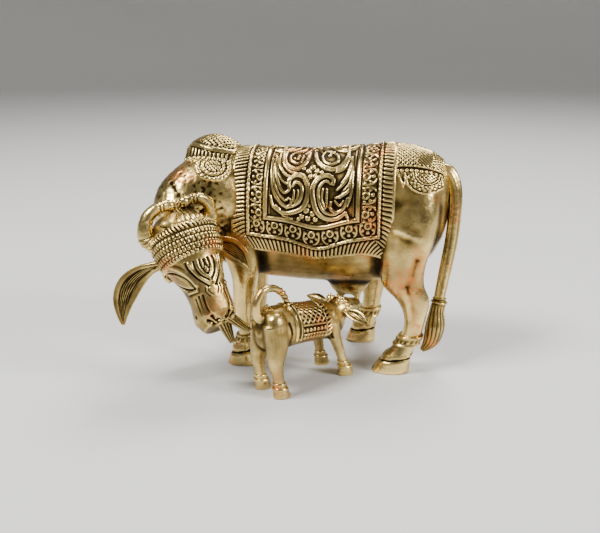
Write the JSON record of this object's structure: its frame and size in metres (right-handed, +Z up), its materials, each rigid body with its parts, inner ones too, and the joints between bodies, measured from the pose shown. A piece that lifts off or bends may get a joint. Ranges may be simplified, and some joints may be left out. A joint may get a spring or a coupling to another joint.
{
  "type": "cow and calf statue",
  "caption": "Small antiqued brass figure of a caparisoned cow bending her head to lick her calf, which feeds under her.",
  "frame": {"origin": "middle of the figure's box, on the surface it stands on", "axes": "+X from the cow's head to her tail, +Y away from the calf's side, +Z up"},
  "size_m": [0.0934, 0.0542, 0.0656],
  "materials": {
    "cow_brass": "antiqued cast brass, dark in the recesses and polished on the high places",
    "calf_brass": "antiqued cast brass, dark in the recesses and polished on the high places"
  },
  "bodies": {
    "root": {"cow": "cow_brass", "calf": "calf_brass"}
  },
  "joints": []
}
